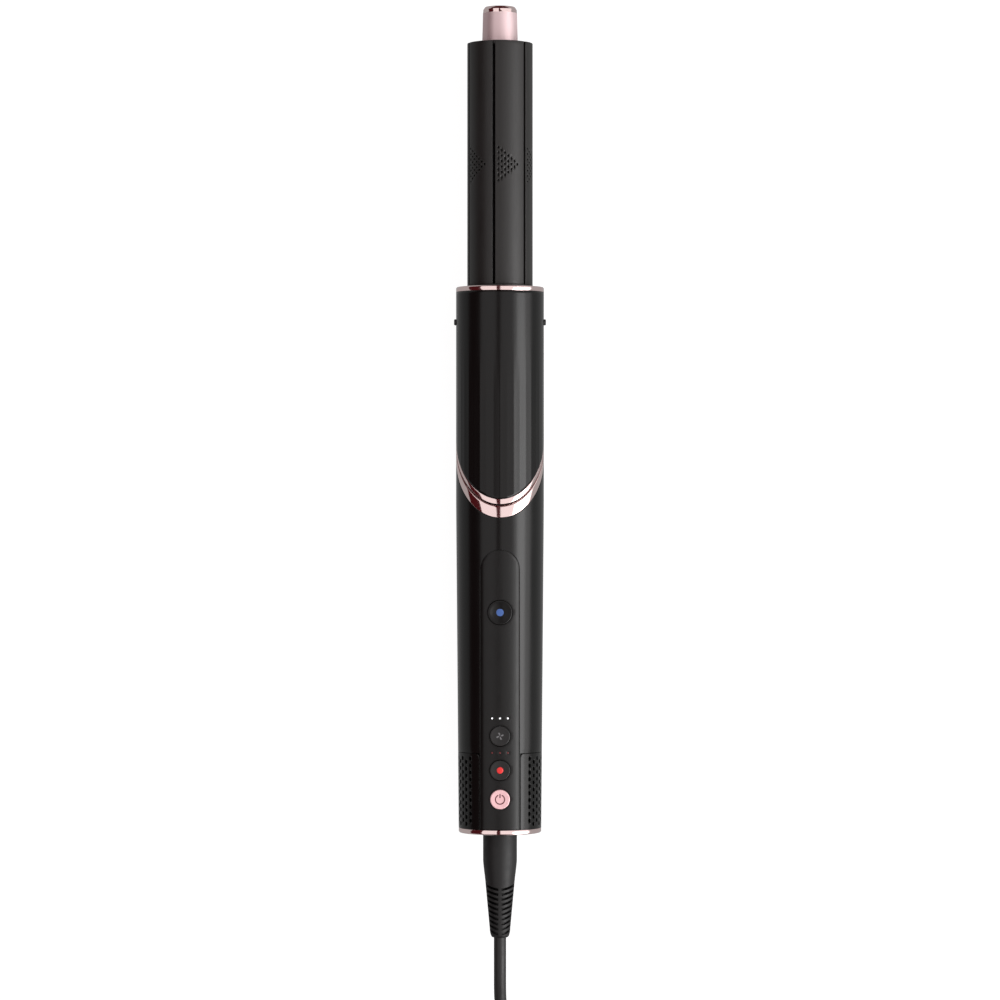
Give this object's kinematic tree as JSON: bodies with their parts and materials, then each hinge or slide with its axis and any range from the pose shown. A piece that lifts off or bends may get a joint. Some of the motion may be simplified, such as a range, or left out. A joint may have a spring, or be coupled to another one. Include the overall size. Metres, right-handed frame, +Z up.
{
  "type": "curling wand",
  "caption": "Hot-air curling wand with a slanted turning head, lift-off slotted barrel, sliding filter cover, press buttons and a hanked mains cord.",
  "frame": {"origin": "on the surface that the wand lies on, under the middle of its length", "axes": "+Y along the wand from the cord end to the cool tip, +Z up out of the button side, +X to the right"},
  "size_m": [0.06, 0.7629, 0.043],
  "materials": {
    "gloss_black": "polished moulded",
    "panel_black": "fine spark-eroded",
    "button_black": "satin moulded",
    "rose_gold": "polished plated",
    "tip_satin": "satin anodised",
    "barrel_black": "satin ceramic coated",
    "inner_plastic": "moulded",
    "white_plastic": "moulded",
    "board_green": "solder resist",
    "switch_black": "moulded",
    "steel": "turned",
    "copper": "enamelled wire",
    "mica": "pressed mica",
    "heating_wire": "oxidised",
    "soft_rubber": "matt moulded",
    "cord_rubber": "matt extruded",
    "plug_black": "moulded",
    "plug_metal": "nickel plated",
    "light_white": "clear light pipe",
    "light_red": "clear light pipe",
    "mark_red": "inlaid",
    "mark_blue": "inlaid"
  },
  "bodies": {
    "handle": {"handle_shell": "gloss_black", "control_panel": "panel_black", "handle_swivel_ring": "rose_gold", "swivel_plate": "steel", "swivel_tube": "steel", "swivel_clip": "steel", "inlet_frame": "inner_plastic", "filter_screen": "inner_plastic", "cord_clamp": "steel", "clamp_screws": "steel", "control_board": "board_green", "board_carrier": "inner_plastic", "tact_switches": "switch_black", "cool_shot_board": "board_green", "white_lights": "light_white", "red_lights": "light_red", "motor_housing": "inner_plastic", "motor_stator": "copper", "motor_bearings": "steel", "motor_mounts": "soft_rubber", "heater_sleeve": "mica", "heater_frame": "mica", "heater_coils": "heating_wire", "thermal_cutout": "white_plastic", "strain_relief": "soft_rubber", "cord_lead": "cord_rubber", "cord_hank": "cord_rubber", "cord_tail": "cord_rubber", "cord_tie": "soft_rubber", "plug_body": "plug_black", "plug_pins": "plug_metal"},
    "fan": {"impeller": "white_plastic", "rotor_shaft": "steel", "rotor_magnet": "steel"},
    "head": {"head_shell": "gloss_black", "head_swivel_ring": "rose_gold", "head_top_ring": "rose_gold", "head_socket": "inner_plastic", "swivel_collar": "steel", "swivel_bush": "white_plastic", "socket_seal": "soft_rubber"},
    "release_left": {"release_button_left": "button_black"},
    "release_right": {"release_button_right": "button_black"},
    "power": {"power_button": "rose_gold"},
    "temperature": {"temperature_button": "button_black", "temperature_dot": "mark_red"},
    "airflow": {"airflow_button": "button_black"},
    "cool_shot": {"cool_shot_button": "button_black", "cool_shot_dot": "mark_blue"},
    "filter_cover": {"filter_cover": "gloss_black", "base_ring": "rose_gold"},
    "barrel": {"barrel_core": "inner_plastic", "barrel_vanes": "barrel_black", "barrel_collar": "barrel_black", "barrel_end_cap": "barrel_black", "cool_tip": "tip_satin"}
  },
  "joints": [
    {"name": "head_swivel", "type": "hinge", "parent": "handle", "child": "head", "pos_m": [0, -0.0139, 0.0215], "axis": [0, 0.6032, 0.7976], "range_deg": [0, 180]},
    {"name": "barrel_slide", "type": "slide", "parent": "head", "child": "barrel", "axis": [0, 1, 0], "range_m": [0, 0.06]},
    {"name": "filter_cover_slide", "type": "slide", "parent": "handle", "child": "filter_cover", "axis": [0, -1, 0], "range_m": [0, 0.045]},
    {"name": "fan_spin", "type": "hinge", "parent": "handle", "child": "fan", "pos_m": [0, -0.13, 0.0215], "axis": [0, 1, 0], "continuous": true},
    {"name": "power_press", "type": "slide", "parent": "handle", "child": "power", "axis": [0, 0, -1], "range_m": [0, 0.0008], "stiffness_N_per_m": 300, "springref_m": -0.0002},
    {"name": "temperature_press", "type": "slide", "parent": "handle", "child": "temperature", "axis": [0, 0, -1], "range_m": [0, 0.0008], "stiffness_N_per_m": 300, "springref_m": -0.0002},
    {"name": "airflow_press", "type": "slide", "parent": "handle", "child": "airflow", "axis": [0, 0, -1], "range_m": [0, 0.0008], "stiffness_N_per_m": 300, "springref_m": -0.0002},
    {"name": "cool_shot_press", "type": "slide", "parent": "handle", "child": "cool_shot", "axis": [0, 0, -1], "range_m": [0, 0.0008], "stiffness_N_per_m": 300, "springref_m": -0.0002},
    {"name": "release_left_press", "type": "slide", "parent": "head", "child": "release_left", "axis": [1, 0, 0], "range_m": [0, 0.0008], "stiffness_N_per_m": 300, "springref_m": -0.0002},
    {"name": "release_right_press", "type": "slide", "parent": "head", "child": "release_right", "axis": [-1, 0, 0], "range_m": [0, 0.0008], "stiffness_N_per_m": 300, "springref_m": -0.0002}
  ]
}
